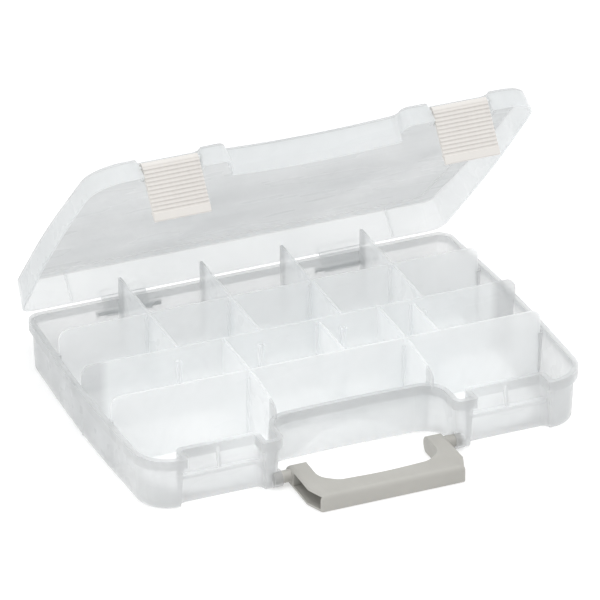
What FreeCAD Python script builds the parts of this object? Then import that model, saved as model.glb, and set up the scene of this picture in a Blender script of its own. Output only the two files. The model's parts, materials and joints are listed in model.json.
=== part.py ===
import FreeCAD, Part
import Sketcher

import math
import os

from FreeCAD import Placement, Rotation, Vector

# A satchel tackle box: a moulded tray with lift-out dividers, a wedge-shaped lid on two rear hinges,
# two snap latches that hang from the lid and a swinging carry handle in a bay in the tray's front.
# Millimetres. +Z is up, +X runs along the front, -Y faces the user. The origin is the middle of the
# tray's underside. The lid and latches are drawn closed and then turned to the half-open rest pose.

doc = FreeCAD.newDocument("TackleBox")
sheet = doc.addObject("Spreadsheet::Sheet", "Sizes")

SIZES = {
    # tray plan
    "half_width": 191.0, "rear_half_width": 184.3, "front_half_width": 187.3, "half_depth": 133.0,
    "rear_corner": 13.0, "front_corner": 30.0, "side_bulge_radius": 1500.0,
    "bay_half_width": 71.5, "bay_depth": 36.0, "bay_bow": 2.0, "bay_corner": 8.0,
    "bay_inner_corner": 17.0, "widest_at": 5.0,
    # tray section
    "tray_height": 44.5, "floor_thick": 2.0, "wall_thick": 1.8, "foot_inset": 4.6, "top_inset": 2.6,
    "lip_drop": 8.5, "foot_round": 2.5,
    # partitions and dividers
    "partition_thick": 1.8, "partition_top": 62.5, "partition_rear_top": 65.0, "partition_pitch": 70.0,
    "partition_setback": 1.0,
    "row_one": 66.0, "row_two": 5.0, "row_three": -48.5, "stub_reach": 5.0, "stub_drop": 11.0,
    "bay_partition": 66.4, "bay_partition_end": 101.0, "bay_partition_front_top": 55.0,
    "divider_thick": 1.6, "divider_gap": 0.35, "divider_round": 8.0, "divider_lift": 0.3,
    "rib_thick": 1.2, "rib_reach": 2.2, "short_one": 15.0, "short_two": 95.5,
    # lid
    "lid_gap": 0.3, "lid_rear_rise": 26.5, "lid_front_rise": 17.0, "lid_thick": 1.8, "lid_round": 2.5,
    "lid_bay_depth": 15.5, "lid_bay_bow": 8.5, "lid_bay_drop": 6.5, "lid_angle": 48.3,
    "lid_lean": 5.4, "lean_height": 90.0, "panel_margin": 15.0, "panel_front": 104.0, "panel_raise": 0.7,
    "stiffener_across": 140.0,
    # hinge
    "hinge_across": 95.0, "hinge_behind": 133.2, "hinge_up": 31.0, "knuckle_radius": 3.0,
    "hinge_pin_radius": 1.5, "lid_knuckle_length": 38.0, "ear_length": 8.0, "hinge_side_gap": 0.4,
    # latches
    "latch_across": 121.5, "latch_width": 46.5, "latch_side_gap": 1.0, "keeper_bay_width": 61.0,
    "notch_depth": 10.5, "recess_foot": 8.0, "recess_rim": 16.0,
    "latch_pivot_front": 127.4, "latch_pivot_up": 54.5, "latch_tilt": 12.0,
    "latch_length": 43.5, "latch_thick": 2.2, "barrel_radius": 3.4, "latch_pin_radius": 1.2,
    "grip_pitch": 3.2, "grip_height": 0.8, "grip_ribs": 11,
    "hook_down": 35.2, "hook_depth": 1.5,
    "keeper_low": 20.5, "keeper_high": 24.0, "keeper_front": 120.8, "keeper_back": 116.0, "keeper_web": 2.4,
    # handle
    "handle_half_width": 65.7, "arm_width": 15.2, "handle_reach": 51.0, "handle_bar": 18.6,
    "handle_thick": 14.0, "handle_clear": 0.4, "handle_skin": 1.8, "handle_bow": 2.0,
    "handle_corner_run": 15.5, "handle_corner_cut": 5.5, "handle_inner_run": 13.0, "handle_inner_rise": 10.0,
    "handle_inner_round": 14.0, "handle_nose_round": 4.5, "handle_knuckle": 8.0,
    "handle_pivot_front": 126.0, "handle_pin_radius": 5.0, "handle_pin_start": 53.5, "handle_pin_end": 78.5,
    "handle_boss_radius": 7.0, "handle_boss_start": 73.5, "handle_boss_end": 80.5,
    "running_gap": 0.05,
}

for row, (alias, number) in enumerate(SIZES.items(), start=1):
    sheet.set(f"A{row}", alias)
    sheet.set(f"B{row}", str(number))
    sheet.setAlias(f"B{row}", alias)
doc.recompute()


def size(alias):
    """The value of one named cell of the sheet."""
    return float(sheet.get(alias))


SIDES = {"left": -1, "right": 1}
HALF_DEPTH = size("half_depth")
TRAY_TOP = size("tray_height")
WALL = size("wall_thick")
LID_RIM = TRAY_TOP + size("lid_gap")
HINGE = Vector(0, size("hinge_behind"), size("hinge_up"))
LATCH_PIVOT = Vector(0, -size("latch_pivot_front"), size("latch_pivot_up"))
HANDLE_MIDDLE = size("handle_clear") + size("handle_thick") / 2
LID_OPEN = Placement(Vector(), Rotation(Vector(1, 0, 0), -size("lid_angle")), HINGE)


# ---------------------------------------------------------------- plan outlines

def mirrored(half):
    """A closed outline from its right half; both ends of the half lie on or beside the middle plane."""
    left = [(-x, y, r) for x, y, r in reversed(half) if x > 0]
    return half + left


def rear_and_side():
    return [(size("rear_half_width"), HALF_DEPTH, size("rear_corner")),
            (size("half_width"), size("widest_at"), size("side_bulge_radius")),
            (size("front_half_width"), 2.0 - HALF_DEPTH, size("front_corner"))]


def latch_notch(width, depth, corner):
    """The step back in the front edge where a latch hangs."""
    outer = size("latch_across") + width / 2
    inner = size("latch_across") - width / 2
    back = depth - HALF_DEPTH
    return [(outer, 1.0 - HALF_DEPTH, corner), (outer, back, 1.5),
            (inner, back, 1.5), (inner, 0.2 - HALF_DEPTH, corner)]


def tray_outline(recess):
    """The tray's plan; recess is how far the latch recesses step back at this height."""
    bay = size("bay_half_width")
    back = size("bay_depth") - HALF_DEPTH
    return mirrored(rear_and_side() + latch_notch(size("keeper_bay_width"), recess, 1.0) + [
        (bay, -HALF_DEPTH, size("bay_corner")), (bay, back, size("bay_inner_corner")),
        (0, back + size("bay_bow"), 900.0)])


def lid_outline():
    bay = size("bay_half_width")
    back = size("lid_bay_depth") - HALF_DEPTH
    notch = latch_notch(size("latch_width") + 2 * size("latch_side_gap"), size("notch_depth"), 0)
    return mirrored(rear_and_side() + notch + [
        (bay, -HALF_DEPTH, 9.0), (bay, back, 4.0), (0, back + size("lid_bay_bow"), 420.0)])


def inset(outline, distance):
    """The outline moved in by a distance; outer corners tighten and inner corners open out."""
    moved = []
    count = len(outline)
    for i, (x, y, r) in enumerate(outline):
        before, after = outline[i - 1], outline[(i + 1) % count]
        a = Vector(x - before[0], y - before[1], 0).normalize()
        b = Vector(after[0] - x, after[1] - y, 0).normalize()
        turn = a.x * b.y - a.y * b.x
        normal_a, normal_b = Vector(a.y, -a.x, 0), Vector(b.y, -b.x, 0)
        shift = (normal_a + normal_b) * (distance / (1 + normal_a.dot(normal_b)))
        radius = max(r - distance, 0) if turn < 0 else r + distance
        moved.append((x + shift.x, y + shift.y, radius))
    return moved


def rounded_edges(outline, place):
    """Lines and tangent arcs through an outline of (u, v, radius) corners."""
    count = len(outline)
    ends = []
    for i, (x, y, r) in enumerate(outline):
        here = Vector(x, y, 0)
        a = (Vector(*outline[i - 1][:2], 0) - here).normalize()
        b = (Vector(*outline[(i + 1) % count][:2], 0) - here).normalize()
        half = a.getAngle(b) / 2
        reach = r / math.tan(half)
        centre = here + (a + b).normalize() * (r / math.sin(half)) if r > 0 else here
        middle = centre + (here - centre).normalize() * r if r > 0 else here
        ends.append((place(here + a * reach), place(middle), place(here + b * reach), r))
    edges = []
    for i, (start, middle, stop, r) in enumerate(ends):
        if r > 0:
            edges.append(Part.Arc(start, middle, stop).toShape())
        edges.append(Part.LineSegment(stop, ends[(i + 1) % count][0]).toShape())
    return edges


def plan_wire(outline, z):
    return Part.Wire(rounded_edges(outline, lambda p: Vector(p.x, p.y, z)))


def prism(outline, low, high):
    return Part.Face(plan_wire(outline, low)).extrude(Vector(0, 0, high - low))


def tapered(low_outline, low, high_outline, high):
    """A solid whose wall leans from one outline at its foot to another at its top."""
    return Part.makeLoft([plan_wire(low_outline, low), plan_wire(high_outline, high)], True, True)


def across_plate(corners, x, thick):
    """A plate of given thickness centred on the plane at x; corners are (y, z, radius)."""
    wire = Part.Wire(rounded_edges(corners, lambda p: Vector(x - thick / 2, p.x, p.y)))
    return Part.Face(wire).extrude(Vector(thick, 0, 0))


def along_plate(corners, y, thick):
    """A plate of given thickness centred on the plane at y; corners are (x, z, radius)."""
    wire = Part.Wire(rounded_edges(corners, lambda p: Vector(p.x, y - thick / 2, p.y)))
    return Part.Face(wire).extrude(Vector(0, thick, 0))


def block(low, high):
    return Part.makeBox(high[0] - low[0], high[1] - low[1], high[2] - low[2], Vector(*low))


def rod(radius, x_low, x_high, y, z):
    return Part.makeCylinder(radius, x_high - x_low, Vector(x_low, y, z), Vector(1, 0, 0))


def side_half_width(y):
    """Half the plan width of the rim at a given depth, along the straight runs of the side."""
    corners = rear_and_side()
    for (x0, y0, _), (x1, y1, _) in zip(corners, corners[1:]):
        if y0 >= y >= y1:
            return x0 + (x1 - x0) * (y0 - y) / (y0 - y1)
    return corners[-1][0]


def fused(shapes):
    return shapes[0].multiFuse(shapes[1:]).removeSplitter()


def feature(label, shape, placement=None):
    """A sub-part whose outline is free-form, so its shape is set here and placed afterwards."""
    sub_part = doc.addObject("Part::Feature", label)
    sub_part.Shape = shape
    if placement:
        sub_part.Placement = placement
    sub_part.Label = label
    return sub_part


# ---------------------------------------------------------------- tray

FLOOR = size("floor_thick")
CAVITY_FOOT = size("foot_inset") + WALL
CAVITY_TOP = size("top_inset") + WALL
BED = FLOOR - 0.5
PARTITION_XS = [size("partition_pitch") * k for k in (-1.5, -0.5, 0.5, 1.5)]
PLATE = size("partition_thick")
SLOT_HALF = size("divider_thick") / 2 + size("divider_gap")
END_PLAY = 0.4
hinge_pin_half = size("lid_knuckle_length") / 2 + size("hinge_side_gap") + size("ear_length")


def in_latch_recess(point):
    reach = size("keeper_bay_width") / 2 + size("foot_inset")
    return point.y < size("recess_rim") - HALF_DEPTH and abs(abs(point.x) - size("latch_across")) < reach


def tray_shell():
    foot_plan, rim = tray_outline(size("recess_foot")), tray_outline(size("recess_rim"))
    body = tapered(inset(foot_plan, size("foot_inset")), 0, inset(rim, size("top_inset")), TRAY_TOP)
    foot = [e for e in body.Edges
            if e.BoundBox.ZMax < 0.01 and e.Length > 8 and not in_latch_recess(e.CenterOfMass)]
    body = body.makeFillet(size("foot_round"), foot)
    ledge = prism(rim, TRAY_TOP - WALL, TRAY_TOP)
    lip = prism(rim, TRAY_TOP - size("lip_drop"), TRAY_TOP).cut(prism(inset(rim, 1.5), 0, TRAY_TOP + 1))
    cavity = tapered(inset(foot_plan, CAVITY_FOOT), FLOOR, inset(rim, CAVITY_TOP), TRAY_TOP)
    return fused([body, ledge, lip]).cut(cavity)


def rear_partition(x):
    """A fixed wall from the tray's rear to row two; above the rim it stops short of the lid's skirt."""
    back = HALF_DEPTH - CAVITY_TOP
    front, top, setback = size("row_two"), size("partition_top"), size("partition_setback")
    rim = TRAY_TOP - 2
    return across_plate([(front, BED, 0), (front, top, 0), (back - setback, size("partition_rear_top"), 2),
                         (back - setback, rim, 0), (back + 1, rim, 0), (back + 1, BED, 0)], x, PLATE)


def cross_wall():
    """The full-width fixed wall at row two."""
    reach = side_half_width(size("row_two")) - CAVITY_TOP - 0.6
    top = size("partition_top")
    return along_plate([(-reach, BED, 0), (reach, BED, 0), (reach, top, size("divider_round")),
                        (-reach, top, size("divider_round"))], size("row_two"), PLATE)


def bay_partition(side):
    """The fixed wall from row two to the handle bay's corner; its top falls with the lid."""
    row, top, end = size("row_two"), size("partition_top"), -size("bay_partition_end")
    shoulder = size("bay_partition_front_top")
    return across_plate([(row, BED, 0), (row, top, 0), (end + 40, top - 1, 40), (end + 14, shoulder + 3, 20),
                         (end, shoulder - 1, 7), (end, TRAY_TOP - 3, 0), (end + 4, TRAY_TOP - 4, 0),
                         (end + 6.4, BED, 0)], side * size("bay_partition"), PLATE)


def slot_ribs(x, toward, y, top):
    """Two upright ribs on a wall face at x, with a divider's thickness and its play between them."""
    thick, reach = size("rib_thick"), size("rib_reach")
    x_low, x_high = sorted((x - toward * 1.2, x + toward * reach))
    return [block((x_low, y + s * SLOT_HALF - (thick if s < 0 else 0), BED),
                  (x_high, y + s * SLOT_HALF + (thick if s > 0 else 0), top)) for s in (-1, 1)]


def front_slot_ribs(x, y, toward, top, reach=size("rib_reach")):
    """The same pair of ribs on the face of a wall that runs along X."""
    thick = size("rib_thick")
    y_low, y_high = sorted((y - toward * 0.6, y + toward * reach))
    return [block((x + s * SLOT_HALF - (thick if s < 0 else 0), y_low, BED),
                  (x + s * SLOT_HALF + (thick if s > 0 else 0), y_high, top)) for s in (-1, 1)]


def tray_slots():
    ribs = []
    low_top, high_top = TRAY_TOP - 3, size("partition_top") - 3
    for name in ("row_one", "row_three"):
        y = size(name)
        for side in SIDES.values():
            wall = side_half_width(y) - CAVITY_FOOT + 0.6
            ribs += slot_ribs(side * wall, -side, y, low_top)
    for x in PARTITION_XS:
        for toward in (-1, 1):
            ribs += slot_ribs(x + toward * PLATE / 2, toward, size("row_one"), high_top)
    for side in SIDES.values():
        for toward in (-1, 1):
            face = side * size("bay_partition") + toward * PLATE / 2
            ribs += slot_ribs(face, toward, size("row_three"), high_top - 4)
    front_face = size("row_two") - PLATE / 2
    for name in ("short_one", "short_two"):
        ribs += front_slot_ribs(size(name), front_face, -1, high_top)
    for x in PARTITION_XS:
        ribs += front_slot_ribs(x, front_face, -1, size("partition_top") - size("stub_drop"),
                                size("stub_reach"))
    return ribs


def keeper(side):
    """The ledge that a latch hooks under, with a leaning web from it up to the rim."""
    half = size("keeper_bay_width") / 2 + size("top_inset") + 1.4
    back, front = -size("keeper_back"), -size("keeper_front")
    middle = side * size("latch_across")
    foot, rim_front = size("keeper_high") - 0.5, size("recess_rim") + 0.5 - HALF_DEPTH
    web = [(back, foot, 0), (front, foot, 0), (rim_front, TRAY_TOP - 1, 0),
           (rim_front + 2.5, TRAY_TOP - 1, 0)]
    return [block((middle - half, front, size("keeper_low")), (middle + half, back, size("keeper_high"))),
            across_plate(web, middle, size("keeper_web"))]


def tray_hinge_ears(side):
    ears = []
    radius = size("knuckle_radius")
    offset = size("lid_knuckle_length") / 2 + size("hinge_side_gap")
    for end in (-1, 1):
        x0, x1 = sorted(side * size("hinge_across") + end * (offset + d) for d in (0, size("ear_length")))
        ears.append(block((x0, HALF_DEPTH - size("foot_inset") - 0.4, HINGE.z - radius),
                          (x1, HINGE.y, HINGE.z + radius)))
        ears.append(rod(radius, x0, x1, HINGE.y, HINGE.z))
    return ears


def handle_boss(side):
    x0, x1 = sorted(side * size(f"handle_boss_{end}") for end in ("start", "end"))
    return rod(size("handle_boss_radius"), x0, x1, -size("handle_pivot_front"), HANDLE_MIDDLE)


def tray():
    solids = [tray_shell(), cross_wall()] + [rear_partition(x) for x in PARTITION_XS] + tray_slots()
    bores = []
    for side in SIDES.values():
        solids += [bay_partition(side), handle_boss(side)] + keeper(side) + tray_hinge_ears(side)
        middle = side * size("hinge_across")
        bores.append(rod(size("hinge_pin_radius"), middle - hinge_pin_half, middle + hinge_pin_half,
                         HINGE.y, HINGE.z))
        x0, x1 = sorted((side * size("handle_pin_start"), side * (size("handle_pin_end") + END_PLAY)))
        bores.append(rod(size("handle_pin_radius") + size("running_gap"), x0, x1,
                         -size("handle_pivot_front"), HANDLE_MIDDLE))
    return fused(solids).cut(Part.makeCompound(bores))


feature("base_tray", tray())

# ---------------------------------------------------------------- lift-out dividers


def divider_box(label, width, height, rounded):
    """A flat divider as a box; the top corners named in rounded are eased."""
    box = doc.addObject("Part::Box", label + "_plate")
    box.Length = width
    box.setExpression("Width", "Sizes.divider_thick")
    box.Height = height
    doc.recompute()
    picked = []
    for number, edge in enumerate(box.Shape.Edges, start=1):
        bounds = edge.BoundBox
        on_top = bounds.ZMin > height - 0.01 and bounds.XLength < 0.01
        end = "start" if bounds.XMax < 0.01 else "stop"
        if on_top:
            radius = size("divider_round") if end in rounded else 1.5
            picked.append((number, radius, radius))
    eased = doc.addObject("Part::Fillet", label + "_eased")
    eased.Base = box
    eased.Edges = picked
    return eased


def across_divider(label, x_low, x_high, row_alias, top, rounded=(), slots=()):
    """A lift-out divider that runs along X; slots are the x places of rib pairs on its rear face."""
    thick, bottom = size("divider_thick"), FLOOR + size("divider_lift")
    sub_part = divider_box(label, x_high - x_low, top - bottom, rounded)
    y = size(row_alias)
    if slots:
        ribs = doc.addObject("Part::Feature", label + "_ribs")
        pairs = [rib for x in slots for rib in front_slot_ribs(x, y + thick / 2, 1, top - 3)]
        lift = Placement(Vector(x_low, y - thick / 2, bottom), Rotation()).inverse()
        ribs.Shape = Part.makeCompound(pairs).common(
            block((x_low, y - 5, bottom + 0.5), (x_high, y + 9, top)))
        ribs.Placement = lift
        joined = doc.addObject("Part::MultiFuse", label + "_ribbed")
        joined.Shapes = [sub_part, ribs]
        sub_part = joined
    sub_part.Placement = Placement(Vector(x_low, y - thick / 2, bottom), Rotation())
    sub_part.Label = label


def short_divider(label, x_alias, top):
    """A lift-out divider that runs along Y between rows two and three."""
    play, thick = 0.5, size("divider_thick")
    y_low = size("row_three") + thick / 2 + play
    y_high = size("row_two") - PLATE / 2 - play
    bottom = FLOOR + size("divider_lift")
    sub_part = divider_box(label, y_high - y_low, top - bottom, ())
    turn = Rotation(Vector(0, 0, 1), 90)
    sub_part.Placement = Placement(Vector(size(x_alias) + thick / 2, y_low, bottom), turn)
    sub_part.Label = label


row_one_end = side_half_width(size("row_one")) - CAVITY_FOOT - END_PLAY
row_one_stops = [-row_one_end] + PARTITION_XS + [row_one_end]
for number, (low, high) in enumerate(zip(row_one_stops, row_one_stops[1:]), start=1):
    x_low = low if number == 1 else low + PLATE / 2 + END_PLAY
    x_high = high if number == 5 else high - PLATE / 2 - END_PLAY
    rounded = {1: ("start",), 5: ("stop",)}.get(number, ())
    across_divider(f"rear_divider_{number}", x_low, x_high, "row_one", size("partition_top"), rounded)

front_end = side_half_width(size("row_three")) - CAVITY_FOOT - END_PLAY
bay_face = size("bay_partition") + PLATE / 2 + END_PLAY
bay_inner = size("bay_partition") - PLATE / 2 - END_PLAY
front_top = size("partition_top") - 1.0
across_divider("front_divider_left", -front_end, -bay_face, "row_three", front_top, ("start",))
across_divider("front_divider_middle", -bay_inner, bay_inner, "row_three", front_top, (),
               (size("short_one"),))
across_divider("front_divider_right", bay_face, front_end, "row_three", front_top, ("stop",),
               (size("short_two"),))
short_divider("short_divider_middle", "short_one", front_top - 1)
short_divider("short_divider_right", "short_two", front_top - 1)

# ---------------------------------------------------------------- lid


def roof_height(y):
    """Height of the lid's outer panel, which falls from the rear to the front."""
    along = (HALF_DEPTH - y) / (2 * HALF_DEPTH)
    rise = size("lid_rear_rise") + (size("lid_front_rise") - size("lid_rear_rise")) * along
    return TRAY_TOP + rise


def above_roof(drop):
    """Everything above the lid's panel, moved down by a distance."""
    far = HALF_DEPTH + 20
    corners = [(far, roof_height(far) - drop, 0), (far, 200, 0), (-far, 200, 0),
               (-far, roof_height(-far) - drop, 0)]
    return across_plate(corners, 0, 500)


def lean_at(height):
    """How far the lid's walls have leaned in at a height."""
    return size("lid_lean") * (height - LID_RIM) / (size("lean_height") - LID_RIM)


def leaning_lid(gap, low):
    """The lid's outline moved in by a gap, standing on a level and leaning in as it rises."""
    outline, high = lid_outline(), size("lean_height")
    return tapered(inset(outline, gap + lean_at(low)), low, inset(outline, gap + lean_at(high)), high)


def panel(shrink):
    """The raised middle of the lid's panel, as a tall prism."""
    margin = size("panel_margin") + shrink
    front = size("panel_front") - shrink
    return prism(mirrored([(size("rear_half_width") - margin, HALF_DEPTH - margin, 8.0),
                           (size("half_width") - margin, size("widest_at"), size("side_bulge_radius")),
                           (size("front_half_width") - margin, -front, 20.0)]), LID_RIM, size("lean_height"))


def lid_shell():
    skin, rise = size("lid_thick"), size("panel_raise")
    outer = leaning_lid(0, LID_RIM).cut(above_roof(0))
    brow = [e for e in outer.Edges
            if e.BoundBox.ZMin > roof_height(-HALF_DEPTH) - 0.5 and e.Length > 12
            and abs(e.CenterOfMass.z - roof_height(e.CenterOfMass.y)) < 0.4]
    outer = outer.makeFillet(size("lid_round"), brow).fuse(panel(0).cut(above_roof(-rise)))
    hollow = leaning_lid(skin, LID_RIM - 1).cut(above_roof(skin))
    return outer.cut(hollow.fuse(panel(skin).cut(above_roof(skin - rise))))


def lid_bay_skirt():
    """The deeper stretch of skirt over the handle bay."""
    outline = lid_outline()
    ring = prism(outline, LID_RIM - size("lid_bay_drop"), LID_RIM + 1)
    ring = ring.cut(prism(inset(outline, size("lid_thick")), 0, 90))
    half = size("bay_half_width") - 0.5
    return ring.common(block((-half, -HALF_DEPTH + 10, 0), (half, -HALF_DEPTH + 25, 90)))


def lid_hinge_arm(side):
    middle, half = side * size("hinge_across"), size("lid_knuckle_length") / 2
    x0, x1 = middle - half, middle + half
    rear = HINGE.y + size("knuckle_radius")
    return [rod(size("knuckle_radius"), x0, x1, HINGE.y, HINGE.z),
            block((x0, HINGE.y + 0.8, HINGE.z), (x1, rear, LID_RIM + 6)),
            block((x0, HALF_DEPTH - 1.5, LID_RIM + 1.0), (x1, rear, LID_RIM + 6))]


def lid_ribs():
    """Upright stiffeners that follow the rear skirt's lean on its inside."""
    low, high = LID_RIM + 1, roof_height(HALF_DEPTH) - 2
    half, depth = 0.8, size("lid_thick") + 2.5
    y_low, y_high = HALF_DEPTH - lean_at(low), HALF_DEPTH - lean_at(high)
    section = [(y_low - depth, low, 0), (y_low - 1, low, 0), (y_high - 1, high, 0), (y_high - depth, high, 0)]
    return [across_plate(section, side * size("stiffener_across"), 2 * half) for side in SIDES.values()]


def lid():
    solids = [lid_shell(), lid_bay_skirt()] + lid_ribs()
    bores = []
    for side in SIDES.values():
        solids += lid_hinge_arm(side)
        hinge_x = side * size("hinge_across")
        latch_x = side * size("latch_across")
        bores.append(rod(size("hinge_pin_radius") + size("running_gap"),
                         hinge_x - 40, hinge_x + 40, HINGE.y, HINGE.z))
        bores.append(rod(size("latch_pin_radius"), latch_x - 28, latch_x + 28, LATCH_PIVOT.y, LATCH_PIVOT.z))
    return fused(solids).cut(Part.makeCompound(bores))


feature("lid_shell", lid(), LID_OPEN)


def pin(label, radius_alias, half_length, centre, placement=None):
    """A plain pin along X, drawn as a cylinder bound to the sheet."""
    cylinder = doc.addObject("Part::Cylinder", label)
    cylinder.setExpression("Radius", "Sizes." + radius_alias)
    cylinder.Height = 2 * half_length
    stand = Placement(centre - Vector(half_length, 0, 0), Rotation(Vector(0, 0, 1), Vector(1, 0, 0)))
    cylinder.Placement = placement.multiply(stand) if placement else stand
    cylinder.Label = label


latch_pin_half = (size("latch_width") / 2 + size("latch_side_gap") + size("lid_thick")
                  + lean_at(size("latch_pivot_up")))
for name, side in SIDES.items():
    pin(f"hinge_pin_{name}", "hinge_pin_radius", hinge_pin_half,
        HINGE + Vector(side * size("hinge_across"), 0, 0))
    pin(f"latch_pin_{name}", "latch_pin_radius", latch_pin_half,
        LATCH_PIVOT + Vector(side * size("latch_across"), 0, 0), LID_OPEN)

# ---------------------------------------------------------------- latches


def latch_outline():
    """Latch section as (down, out, radius) corners, measured from its pivot along its plate."""
    out, thick = size("barrel_radius"), size("latch_thick")
    pitch, height, length = size("grip_pitch"), size("grip_height"), size("latch_length")
    corners = []
    for k in range(int(size("grip_ribs"))):
        u = 1.0 + k * pitch
        corners += [(u, out, 0), (u + 0.5, out + height, 0), (u + 1.7, out + height, 0), (u + 2.2, out, 0)]
    lip = 1.0 + size("grip_ribs") * pitch
    corners += [(lip, out, 0), (lip + 0.8, out + 0.9, 0.5), (length, out + 0.4, 1.0)]
    inner, hook = out - thick, size("hook_down")
    tip = inner - size("hook_depth")
    corners += [(length, inner, 0.8), (hook + 3.0, inner, 0), (hook + 2.2, tip, 0.3), (hook, tip, 0.3),
                (hook, inner, 0), (1.0, inner, 0)]
    return corners


def latch(name, side):
    """A body: the section drawn on the YZ plane, padded to the latch's width, then bored."""
    body = doc.addObject("PartDesign::Body", f"latch_{name}")
    plane = next(f for f in body.Origin.OriginFeatures if f.Role == "YZ_Plane")
    tilt = math.radians(size("latch_tilt"))

    def place(p):
        """From plate directions to the sketch's axes, which are the lid's Y and Z at the pivot."""
        return Vector(p.x * math.sin(tilt) - p.y * math.cos(tilt),
                      -p.x * math.cos(tilt) - p.y * math.sin(tilt), 0)

    def sketch_of(label, shapes):
        sketch = body.newObject("Sketcher::SketchObject", f"{label}_{name}")
        sketch.AttachmentSupport = (plane, "")
        sketch.MapMode = "FlatFace"
        for edge in shapes:
            sketch.addGeometry(edge.Curve.trim(*edge.ParameterRange) if not edge.isClosed()
                               else edge.Curve, False)
        return sketch

    def pad_of(label, sketch, kind="PartDesign::Pad"):
        step = body.newObject(kind, f"{label}_{name}")
        step.Profile = sketch
        step.Midplane = True
        step.setExpression("Length", "Sizes.latch_width")
        return step

    plate = sketch_of("plate_section", rounded_edges(latch_outline(), place))
    pad_of("plate", plate)
    barrel = sketch_of("barrel_section", [Part.makeCircle(size("barrel_radius"))])
    barrel.addConstraint(Sketcher.Constraint("Radius", 0, size("barrel_radius")))
    barrel.setExpression("Constraints[0]", "Sizes.barrel_radius")
    pad_of("barrel", barrel)
    doc.recompute()
    before = body.Shape.Volume
    bore = sketch_of("bore_section", [Part.makeCircle(size("latch_pin_radius") + size("running_gap"))])
    bore.addConstraint(Sketcher.Constraint("Radius", 0, size("latch_pin_radius") + size("running_gap")))
    bore.setExpression("Constraints[0]", "Sizes.latch_pin_radius + Sizes.running_gap")
    pad_of("bore", bore, "PartDesign::Pocket")
    doc.recompute()
    assert body.Shape.Volume < before - 1, "the latch's bore has to remove material"
    pivot = LATCH_PIVOT + Vector(side * size("latch_across"), 0, 0)
    body.Placement = LID_OPEN.multiply(Placement(pivot, Rotation()))
    body.Label = f"latch_{name}"


for name, side in SIDES.items():
    latch(name, side)

# ---------------------------------------------------------------- carry handle


def handle_edges():
    """The y of the bar's front face and of its rear face, and half the gap between the arms."""
    front = -size("handle_pivot_front") - size("handle_reach")
    return front, front + size("handle_bar"), size("handle_half_width") - size("arm_width")


def handle_outline():
    front, grip, inner = handle_edges()
    half, rise = size("handle_half_width"), size("handle_inner_rise")
    heel, bend = size("handle_thick") / 2 - size("handle_pivot_front"), size("handle_inner_round")
    run, cut = size("handle_corner_run"), size("handle_corner_cut")
    return mirrored([(0, grip - size("handle_bow"), 300),
                     (inner - size("handle_inner_run"), grip + 0.2, bend),
                     (inner + 0.5, grip + rise, bend), (inner, heel, 0), (half, heel, 0),
                     (half + 0.5, front + run, 6), (half - cut, front, 2)])


def handle_hollow():
    """The space inside the bar and the arms, which is open to both sides."""
    front, grip, inner = handle_edges()
    skin, bend = size("handle_skin"), size("handle_inner_round") - 2
    wide, heel = size("handle_half_width") + 10, -size("handle_pivot_front") - size("handle_knuckle")
    plan = mirrored([(inner - size("handle_inner_run") + 1, grip - skin - 0.2, bend),
                     (inner + skin + 0.5, grip + size("handle_inner_rise") - 1 - skin, bend),
                     (inner + skin, heel, 0), (wide, heel, 0), (wide, front + skin, 0)])
    return prism(plan, size("handle_clear") + skin, size("handle_clear") + size("handle_thick") - skin)


def handle():
    """A hollow bar and two arms, open along the arms' outer sides, with solid knuckles at the rear."""
    low, thick, half = size("handle_clear"), size("handle_thick"), size("handle_half_width")
    front = handle_edges()[0]
    body = prism(handle_outline(), low, low + thick)
    nose = [e for e in body.Edges if e.BoundBox.YMax < front + 0.1 and e.BoundBox.ZMin > low + thick - 0.1]
    body = body.makeFillet(size("handle_nose_round"), nose)
    heel, bend = thick / 2 - size("handle_pivot_front"), thick / 2 + 1
    knuckles = across_plate([(front - 5, low - 1, 0), (heel, low - 1, bend), (heel, low + thick + 1, bend),
                             (front - 5, low + thick + 1, 0)], 0, 4 * half)
    body = body.common(knuckles).cut(handle_hollow())
    bores = [rod(size("handle_pin_radius"), *sorted((side * size("handle_pin_start"), side * (half + 2))),
                 -size("handle_pivot_front"), HANDLE_MIDDLE) for side in SIDES.values()]
    return body.cut(Part.makeCompound(bores))


feature("handle", handle())
pin_low, pin_high = size("handle_pin_start"), size("handle_pin_end")
for name, side in SIDES.items():
    pin(f"handle_pin_{name}", "handle_pin_radius", (pin_high - pin_low) / 2,
        Vector(side * (pin_high + pin_low) / 2, -size("handle_pivot_front"), HANDLE_MIDDLE))

# ---------------------------------------------------------------- check and write

doc.recompute()
for item in doc.Objects:
    assert not {"Invalid", "Error"} & set(item.State), f"{item.Label} failed"

consumed = {used.Name for item in doc.Objects if item.TypeId in ("Part::Fillet", "Part::MultiFuse")
            for used in item.OutList}
sub_parts = [item for item in doc.Objects
             if item.isDerivedFrom("Part::Feature") and item.Name not in consumed
             and not item.isDerivedFrom("Sketcher::SketchObject")
             and (item.TypeId == "PartDesign::Body" or not item.isDerivedFrom("PartDesign::Feature"))]
os.makedirs("parts", exist_ok=True)
for item in sub_parts:
    shape = item.Shape
    assert not shape.isNull() and shape.isValid(), f"{item.Label} has a bad shape"
    print(f"{item.Label}: {len(shape.Solids)} solid, {shape.Volume / 1000:.1f} cm3")
    shape.exportStep(f"parts/{item.Label}.step")
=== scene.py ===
import json
import math

import bpy
from mathutils import Matrix, Vector


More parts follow.
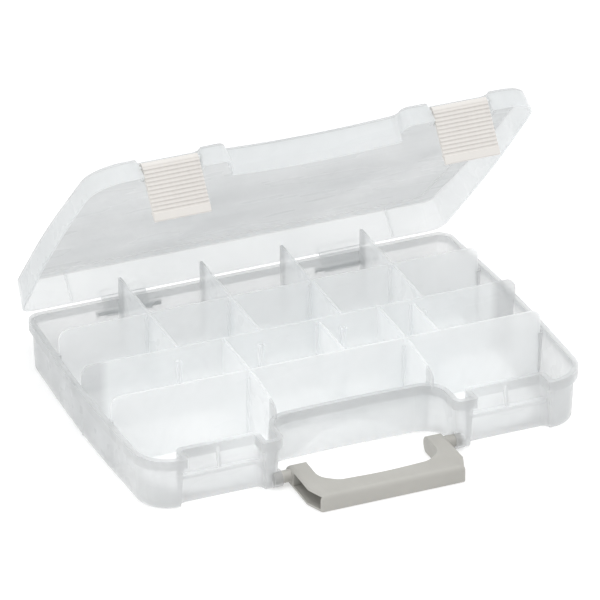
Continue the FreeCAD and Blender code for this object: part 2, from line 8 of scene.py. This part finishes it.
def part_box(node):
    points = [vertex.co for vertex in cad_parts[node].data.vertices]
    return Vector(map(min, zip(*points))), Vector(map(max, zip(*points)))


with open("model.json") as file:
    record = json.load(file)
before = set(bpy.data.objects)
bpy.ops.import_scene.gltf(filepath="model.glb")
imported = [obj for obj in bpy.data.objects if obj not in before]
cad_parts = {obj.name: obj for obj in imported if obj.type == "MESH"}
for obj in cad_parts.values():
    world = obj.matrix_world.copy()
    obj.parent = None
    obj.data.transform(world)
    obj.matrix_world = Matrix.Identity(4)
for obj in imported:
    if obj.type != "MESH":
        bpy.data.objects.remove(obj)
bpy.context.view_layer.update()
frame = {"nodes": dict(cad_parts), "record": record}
nodes = frame["nodes"]

# ------------------------------------------------------------------ measures, in metres

TRAY_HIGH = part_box("base_tray")[1]
TRAY_HALF_WIDTH, TRAY_HALF_DEPTH = 0.190, 0.133
BAY_HALF_WIDTH, BAY_BACK = 0.078, -0.090      # the handle bay in the tray's front, with its walls, which get painted shade
LID_PANEL_DEPTH = 0.0031                      # the lid's panel lies within this depth of its highest face

# ------------------------------------------------------------------ camera and studio

AZIMUTH, ELEVATION = math.radians(-23.2), math.radians(28.35)
CAMERA_DISTANCE = 5.21
LENS_MM, SENSOR_MM = 387.0, 36.0
REAR_INSET = 0.008                            # from the back of the tray's box to the point aimed from
AIM_ACROSS, AIM_UP = 0.0478, 0.0186           # how far the camera's axis passes from that point
LAMP_TARGET = (0, 0, 0.05)
LAMPS = (                                     # name, place, size, watts
    ("right", (2.2, 0.1, 1.5), 1.6, 9),
    ("left", (-2.2, 0.4, 1.3), 1.6, 12),
    ("top", (0.1, -0.7, 2.6), 2.0, 34),
)
SKY_COLOUR, SKY_STRENGTH = (0.98, 0.99, 1.0, 1), 0.78
FLOOR_REACH, FLOOR_DROP = 6.0, 0.0003
FLOOR_COLOUR, FLOOR_GLOW = (0.60, 0.60, 0.597, 1), 0.44


def make_camera():
    """A long-lens camera in front and to the left of the box, level with the horizon."""
    back = Vector((math.sin(AZIMUTH) * math.cos(ELEVATION), -math.cos(AZIMUTH) * math.cos(ELEVATION),
                   math.sin(ELEVATION)))
    right = Vector((math.cos(AZIMUTH), math.sin(AZIMUTH), 0))
    up = back.cross(right)
    aimed_from = Vector((0, TRAY_HIGH.y - REAR_INSET, 0))
    camera = bpy.data.objects.new("Camera", bpy.data.cameras.new("Camera"))
    camera.data.lens = LENS_MM
    camera.data.sensor_width = SENSOR_MM
    camera.data.clip_end = 50.0
    camera.matrix_world = Matrix((right, up, back)).transposed().to_4x4()
    camera.location = aimed_from + back * CAMERA_DISTANCE + right * AIM_ACROSS + up * AIM_UP
    bpy.context.collection.objects.link(camera)
    bpy.context.scene.camera = camera


def area_light(name, place, size, watts):
    light = bpy.data.objects.new(name, bpy.data.lights.new(name, "AREA"))
    light.data.size = size
    light.data.energy = watts
    light.location = place
    light.rotation_mode = "QUATERNION"
    light.rotation_quaternion = (Vector(LAMP_TARGET) - Vector(place)).to_track_quat("-Z", "Y")
    bpy.context.collection.objects.link(light)


def make_floor():
    """A pale, faintly lit floor whose edge is out of sight."""
    reach = FLOOR_REACH
    mesh = bpy.data.meshes.new("studio_floor")
    mesh.from_pydata([(-reach, -reach, 0), (reach, -reach, 0), (reach, reach, 0), (-reach, reach, 0)], [],
                     [(0, 1, 2, 3)])
    floor = bpy.data.objects.new("studio_floor", mesh)
    floor.location.z = -FLOOR_DROP
    bpy.context.collection.objects.link(floor)
    material = bpy.data.materials.new("studio_floor")
    material.use_nodes = True
    shader = material.node_tree.nodes["Principled BSDF"]
    shader.inputs["Base Color"].default_value = FLOOR_COLOUR
    shader.inputs["Emission Color"].default_value = (1, 1, 1, 1)
    shader.inputs["Emission Strength"].default_value = FLOOR_GLOW
    shader.inputs["Roughness"].default_value = 0.9
    shader.inputs["Specular IOR Level"].default_value = 0.1
    mesh.materials.append(material)


def make_studio():
    """The floor, an even white surround, three soft lamps, and enough light bounces for clear walls."""
    make_floor()
    scene = bpy.context.scene
    world = bpy.data.worlds.new("studio")
    scene.world = world
    world.use_nodes = True
    world.node_tree.nodes["Background"].inputs["Color"].default_value = SKY_COLOUR
    world.node_tree.nodes["Background"].inputs["Strength"].default_value = SKY_STRENGTH
    for lamp in LAMPS:
        area_light(*lamp)
    scene.view_settings.view_transform = "Standard"
    scene.cycles.transparent_max_bounces = 64
    scene.cycles.max_bounces = 24
    scene.cycles.diffuse_bounces = 14
    scene.cycles.transmission_bounces = 14


# ------------------------------------------------------------------ material helpers

class Nodes:
    """Short ways to add shader nodes to one material."""

    def __init__(self, name):
        self.material = bpy.data.materials.new(name)
        self.material.use_nodes = True
        self.tree = self.material.node_tree
        self.tree.nodes.clear()
        self.output = self.tree.nodes.new("ShaderNodeOutputMaterial")

    def add(self, kind, inputs, **attributes):
        """A node with its attributes set first, then its inputs, from other sockets or plain values."""
        node = self.tree.nodes.new("ShaderNode" + kind)
        for key, value in attributes.items():
            setattr(node, key, value)
        for key, value in inputs.items():
            if isinstance(value, bpy.types.NodeSocket):
                self.tree.links.new(value, node.inputs[key])
            else:
                node.inputs[key].default_value = value
        return node

    def object_coords(self):
        return self.add("TexCoord", {}).outputs["Object"]

    def noise(self, scale, detail=2.0, roughness=0.5, distortion=0.0, stretch=(1, 1, 1)):
        """Noise in the object's own space; a small stretch number draws it out along that axis."""
        space = self.add("Mapping", {"Vector": self.object_coords(), "Scale": stretch}).outputs[0]
        return self.add("TexNoise", {
            "Vector": space, "Scale": scale, "Detail": detail, "Roughness": roughness,
            "Distortion": distortion}).outputs["Fac"]

    def spread(self, value, low, high, from_low=0.3, from_high=0.7):
        """Maps a value onto low to high; the standard range is the one that noise mostly keeps to."""
        return self.add("MapRange", {
            "Value": value, "From Min": from_low, "From Max": from_high, "To Min": low, "To Max": high,
        }).outputs["Result"]

    def maths(self, operation, a, b=0.0):
        return self.add("Math", {0: a, 1: b}, operation=operation).outputs[0]

    def tint(self, factor, low, high):
        """A colour between two, given as red, green and blue."""
        mix = self.add("Mix", {0: factor}, data_type="RGBA")
        mix.inputs[6].default_value = (*low, 1)
        mix.inputs[7].default_value = (*high, 1)
        return mix.outputs[2]

    def bump(self, height, strength, distance):
        return self.add("Bump", {"Height": height, "Strength": strength, "Distance": distance}
                        ).outputs["Normal"]

    def finish(self, shader):
        self.tree.links.new(shader, self.output.inputs["Surface"])
        return self.material


# ------------------------------------------------------------------ regions where shade is painted, each a factor from 0 to 1

def lid_panel_painted_shade(n):
    """How far a point belongs to the lid's big panel, where the lid's colour gets painted shade."""
    mesh = nodes["lid_shell"].data
    facing = max(mesh.polygons, key=lambda face: face.area).normal.copy()
    if facing.z < 0:
        facing.negate()
    start = max(facing.dot(vertex.co) for vertex in mesh.vertices) - LID_PANEL_DEPTH
    softness = 0.0004
    along = n.add("VectorMath", {0: n.object_coords(), 1: facing}, operation="DOT_PRODUCT").outputs["Value"]
    return n.spread(along, 0, 1, start - softness, start)


def outer_walls_painted_shade(n):
    """How far a point belongs to the tray's outer walls, with its plan as a rounded rectangle, or its bay;
    there the tray's colour gets painted shade.
    """
    roundness = 6.0
    inner_share, outer_share = 0.86, 0.90     # of the plan's size: the walls and their painted shade fade in between these
    place = n.add("SeparateXYZ", {"Vector": n.object_coords()}).outputs
    x, y = n.maths("ABSOLUTE", place["X"]), place["Y"]
    shares = [n.maths("POWER", n.maths("DIVIDE", distance, half), roundness)
              for distance, half in ((x, TRAY_HALF_WIDTH), (n.maths("ABSOLUTE", y), TRAY_HALF_DEPTH))]
    outward = n.maths("POWER", n.maths("ADD", shares[0], shares[1]), 1.0 / roundness)
    bay = n.maths("MULTIPLY", n.maths("LESS_THAN", x, BAY_HALF_WIDTH), n.maths("LESS_THAN", y, BAY_BACK))
    return n.maths("MAXIMUM", n.spread(outward, 0, 1, inner_share, outer_share), bay)


def add_painted_shade(n, colour, shade_mask, painted_shade):
    """A colour made darker by painted shade inside a region, with flow lines along X in that painted shade.
    """
    streak = n.noise(30.0, 3.0, 0.6, 0.3, (0.12, 1, 1))
    shade_drop = n.maths("SUBTRACT", n.spread(streak, painted_shade - 0.04, painted_shade + 0.04), 1.0)
    scale = n.maths("ADD", n.maths("MULTIPLY", shade_mask, shade_drop), 1.0)
    return n.add("VectorMath", {"Vector": colour, "Scale": scale}, operation="SCALE").outputs[0]


# ------------------------------------------------------------------ materials

def milky_plastic(name, density, light, dark, gloss=0.28, shade_region=None, painted_shade=1.0):
    """Translucent polypropylene: clouded, softly see-through, denser where it is seen edge on.

    Inside its region, if it has one, its colour is darkened by painted shade.
    """
    glow_share = 0.55                         # how much of the light is let through and scattered
    edge_blend, edge_power, edge_gain = 0.35, 2.0, 0.45
    n = Nodes(name)
    cloud = n.noise(14.0, 3.0, 0.55, 0.4)
    flow = n.noise(40.0, 2.0, stretch=(0.25, 1, 1))
    grain = n.noise(900.0, 2.0)
    colour = n.tint(n.spread(cloud, 0, 1), light, dark)
    # painted shade: the colour is darkened inside the region
    if shade_region:
        colour = add_painted_shade(n, colour, shade_region(n), painted_shade)
    normal = n.bump(n.maths("ADD", n.maths("MULTIPLY", grain, 0.25), flow), 0.03, 0.0006)
    plastic = n.add("BsdfPrincipled", {
        "Base Color": colour, "Roughness": n.spread(flow, gloss - 0.05, gloss + 0.08), "Normal": normal,
    }).outputs[0]
    glow = n.add("BsdfTranslucent", {"Color": colour, "Normal": normal}).outputs[0]
    body = n.add("MixShader", {0: glow_share, 1: plastic, 2: glow}).outputs[0]
    clear = n.add("BsdfTransparent", {}).outputs[0]
    edge_on = n.add("LayerWeight", {"Blend": edge_blend, "Normal": normal}).outputs["Facing"]
    solid = n.maths("ADD", n.spread(cloud, density - 0.04, density + 0.06),
                    n.maths("MULTIPLY", n.maths("POWER", edge_on, edge_power), edge_gain))
    return n.finish(n.add("MixShader", {0: n.maths("MINIMUM", solid, 1.0), 1: clear, 2: body}).outputs[0])


def moulded_plastic(name, light, dark, gloss):
    """Opaque moulded plastic: faint mottling, slight flow marks and a fine spark-eroded grain."""
    grain_strength, grain_depth = 0.35, 0.00012
    n = Nodes(name)
    mottle = n.noise(30.0, 4.0, 0.6)
    flow = n.noise(9.0, 1.0, 0.5, 1.2)
    grain = n.noise(1100.0, 2.0)
    blend = n.maths("ADD", n.maths("MULTIPLY", mottle, 0.5), n.maths("MULTIPLY", flow, 0.5))
    return n.finish(n.add("BsdfPrincipled", {
        "Base Color": n.tint(n.spread(blend, 0, 1), light, dark),
        "Roughness": n.spread(mottle, gloss - 0.05, gloss + 0.08),
        "Normal": n.bump(grain, grain_strength, grain_depth),
        "Specular IOR Level": 0.4,
    }).outputs[0])


def make_materials():
    """One material for each material slot in the record."""
    return {
        # the tray's colour gets painted shade on its outer walls and handle bay
        "tray": milky_plastic("milky_tray", 0.38, (0.968, 0.975, 0.977), (0.943, 0.954, 0.958),
                              shade_region=outer_walls_painted_shade, painted_shade=0.76),
        # the lid's colour gets painted shade on its big panel
        "lid": milky_plastic("milky_lid", 0.46, (0.855, 0.867, 0.87), (0.815, 0.83, 0.835),
                             shade_region=lid_panel_painted_shade, painted_shade=0.78),
        "divider": milky_plastic("milky_divider", 0.47, (0.985, 0.99, 0.991), (0.965, 0.973, 0.976), 0.30),
        "latch": moulded_plastic("cream_latch", (0.675, 0.65, 0.62), (0.63, 0.605, 0.575), 0.42),
        "handle": moulded_plastic("grey_handle", (0.44, 0.43, 0.40), (0.39, 0.38, 0.352), 0.45),
        "pin": moulded_plastic("pale_pin", (0.80, 0.81, 0.81), (0.74, 0.75, 0.75), 0.40),
    }


def paint_nodes():
    """Every CAD node takes the material of its slot in the record."""
    materials = make_materials()
    slots = {part["node"]: part["material_slot"] for part in frame["record"]["subparts"]}
    for name, node in nodes.items():
        node.data.materials.clear()
        node.data.materials.append(materials[slots[name]])


# ------------------------------------------------------------------ make everything

make_camera()
make_studio()
paint_nodes()
